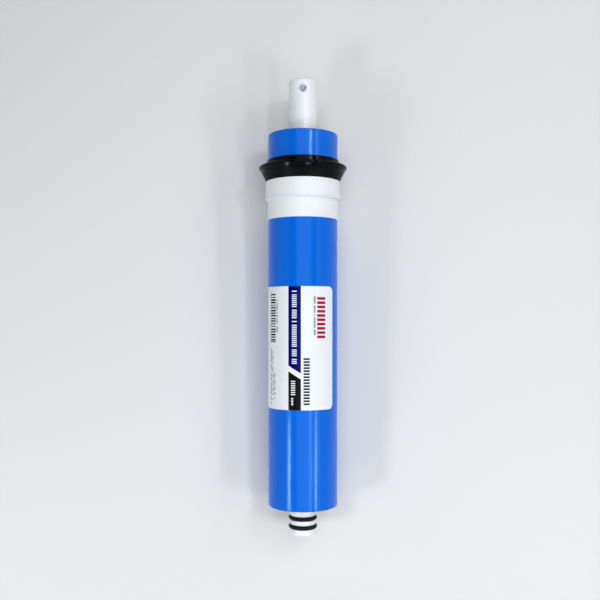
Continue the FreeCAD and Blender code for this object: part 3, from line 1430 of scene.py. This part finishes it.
@dataclass
class PrintLabel(SubAssembly):
    """The label: a film with rounded corners, bent round the wrap."""

    radius: float = 22.85
    thickness: float = 0.1
    start: float = 135.0
    length: float = 78.7
    left: float = -86.0
    right: float = 55.5
    corner: float = 3.4

    def flat(self) -> bpy.types.Object:
        """Cuts the film out, lying over the side that faces up, in narrow columns.

        Returns:
            The film before it is bent.
        """
        across = math.radians(self.radius)
        width, middle = (self.right - self.left) * across, (self.right + self.left) / 2 * across
        place = (middle, 0, self.start + self.length / 2)
        plane, lying = bpy.ops.mesh.primitive_plane_add, (-math.pi / 2, 0, 0)
        film = begin("print_label", plane, size=1, location=place, rotation=lying)
        bpy.ops.transform.resize(value=(width, 1, self.length), center_override=place)
        bpy.ops.mesh.bevel(offset=self.corner, segments=8, affect="VERTICES")
        columns = round(self.right - self.left)
        for column in range(1, columns):
            bpy.ops.mesh.select_all(action="SELECT")
            cut = (self.left * across + width * column / columns, 0, 0)
            bpy.ops.mesh.bisect(plane_co=cut, plane_no=(1, 0, 0))
        bpy.ops.object.mode_set(mode="OBJECT")
        settle(film)
        return film

    def build(self) -> None:
        """Cuts, bends and dresses the label."""
        film = self.flat()
        modify(film, "SOLIDIFY", thickness=self.thickness, offset=1.0)
        bend = math.radians(self.left - self.right)
        modify(film, "SIMPLE_DEFORM", deform_method="BEND", deform_axis="Z", angle=bend)
        film.location = (0, self.radius, 0)
        settle(film)
        self.keep(film, PrintedFilm("label_print", self.radius), Slot.LABEL, ["label"])


# --- studio
@dataclass(frozen=True)
class Lamp:
    """A soft rectangular lamp that runs along the element and shines at its axis.

    Attributes:
        name: the lamp's name.
        angle: degrees from straight up, positive to the right.
        reach: its distance from the axis, in metres.
        width: how wide it is, in metres.
        near: where it starts along Y, in metres.
        far: where it ends along Y, in metres.
        radiance: how bright its face is, where a white floor in full light is 1.
    """

    name: str
    angle: float
    reach: float
    width: float
    near: float
    far: float
    radiance: float

    def hang(self, height: float) -> None:
        """Adds the lamp.

        Args:
            height: how high the element's axis is, in metres.
        """
        turn = math.radians(self.angle)
        across, up = self.reach * math.sin(turn), self.reach * math.cos(turn)
        place = (across, (self.near + self.far) / 2, height + up)
        bpy.ops.object.light_add(type="AREA", location=place, rotation=(0, turn, 0))
        lamp = bpy.context.object
        lamp.name = self.name
        lamp.data.shape = "RECTANGLE"
        lamp.data.size, lamp.data.size_y = self.width, abs(self.far - self.near)
        lamp.data.energy = self.radiance * math.pi * lamp.data.size * lamp.data.size_y


@dataclass
class Studio:
    """The floor, the lamps and the camera.

    Attributes:
        camera_at: the camera's place, in metres.
        tilt: how far it is turned from straight down, in degrees.
        lens: its focal length, in millimetres.
        shift: its lens shift to the side and up, as shares of the frame's width.
        clip: the nearest and farthest that it sees, in metres.
        axis_height: how high the element's axis is, in metres.
        floor_radius: how far the floor reaches, in metres.
        backdrop: the room's colour at the height of the floor.
        ceiling: its colour overhead.
        room: the colour of the light that it gives to matt surfaces.
        backdrop_top: how steeply one looks up where it starts to darken, and is darkest.
        lamps: the lamps.
    """

    camera_at: tuple[float, float, float] = (-0.0019, -0.02210, 0.54852)
    tilt: float = 0.667
    lens: float = 47.436
    shift: Band = (0.0, 0.055)
    clip: Band = (0.01, 20)
    axis_height: float = 0.026
    floor_radius: float = 1.2
    backdrop: Colour = (0.84, 0.86, 0.89)
    ceiling: Colour = (0.11, 0.115, 0.12)
    room: Colour = (0.06, 0.065, 0.075)
    backdrop_top: Band = (0.3, 0.7)
    lamps: tuple[Lamp, ...] = (
        Lamp("overhead", 2.0, 1.1, 0.95, -0.6, 0.9, 1.5),
        Lamp("right_window", 52.0, 1.2, 0.3, -0.55, 0.9, 1.2),
        Lamp("left_window", -50.0, 1.2, 0.16, -0.55, 0.9, 0.7),
        Lamp("left_strip", -46.0, 0.6, 0.075, -0.35, -0.185, 26.0),
        Lamp("inner_strip", 24.7, 0.6, 0.07, -0.35, -0.12, 7.5),
        Lamp("outer_strip", 43.3, 0.6, 0.05, -0.35, -0.175, 27.0),
        Lamp("inner_cap_strip", 24.7, 0.6, 0.03, 0.18, 0.28, 46.0),
        Lamp("outer_cap_strip", 43.8, 0.6, 0.06, 0.18, 0.28, 6.0),
        Lamp("tube_strip", 46.8, 0.6, 0.03, 0.28, 0.43, 13.0),
        Lamp("far_left_window", -60.0, 0.82, 0.15, -1.2, -1.0, 32.0),
        Lamp("far_right_window", 19.8, 0.64, 0.1, -1.2, -1.0, 28.0),
    )

    def set_floor(self) -> None:
        """Lays the floor."""
        bpy.ops.object.select_all(action="DESELECT")
        round_floor = {"vertices": 96, "radius": self.floor_radius, "fill_type": "NGON"}
        bpy.ops.mesh.primitive_circle_add(location=(0, 0, 0), **round_floor)
        floor = bpy.context.object
        floor.name = "floor"
        dress(floor, PaleFloor("pale_floor").material())

    def set_backdrop(self) -> None:
        """Hangs a pale backdrop that darkens towards the ceiling, and lights the room dimly."""
        world = bpy.data.worlds.new("studio")
        bpy.context.scene.world = world
        graph = Graph(world)
        ray = graph.node("TexCoord").outputs["Generated"]
        height = graph.node("SeparateXYZ", {}, {0: ray}).outputs[2]
        seen = graph.blend(graph.ramp(height, *self.backdrop_top), self.backdrop, self.ceiling)
        matt = graph.node("LightPath").outputs["Is Diffuse Ray"]
        colour = graph.blend(matt, seen, self.room)
        room = graph.node("Background", {}, {"Color": colour}).outputs[0]
        graph.node("OutputWorld", {}, {"Surface": room})

    def set_camera(self) -> None:
        """Hangs the camera above the element, tilted a little towards its feed end."""
        tilt = (math.radians(self.tilt), 0, 0)
        bpy.ops.object.camera_add(location=self.camera_at, rotation=tilt)
        camera = bpy.context.object
        camera.data.lens = self.lens
        camera.data.shift_x, camera.data.shift_y = self.shift
        camera.data.clip_start, camera.data.clip_end = self.clip
        bpy.context.scene.camera = camera

    def build(self) -> None:
        """Sets the studio up."""
        self.set_floor()
        self.set_backdrop()
        self.set_camera()
        for lamp in self.lamps:
            lamp.hang(self.axis_height)
        bpy.context.scene.view_settings.view_transform = "Standard"


def main() -> None:
    """Builds the element and the studio in order."""
    logging.basicConfig(level=logging.INFO, format="%(name)s: %(message)s")
    rest = Rest.from_mounts(frame["record"]["mounts"], ProductTube.pull_hole[1])
    inner, outer = ProductTube.ring_stations
    for part in (
        ProductTube(rest),
        TubePlug(rest),
        ORing(rest, "ring_inner", "o_ring_inner", inner),
        ORing(rest, "ring_outer", "o_ring_outer", outer),
        Roll(rest),
        OuterWrap(rest),
        BrineSeal(rest),
        SealTape(rest),
        PrintLabel(rest),
    ):
        LOG.info("building the %s", type(part).__name__)
        part.build()
    Studio().build()


if __name__ == "__main__":
    main()
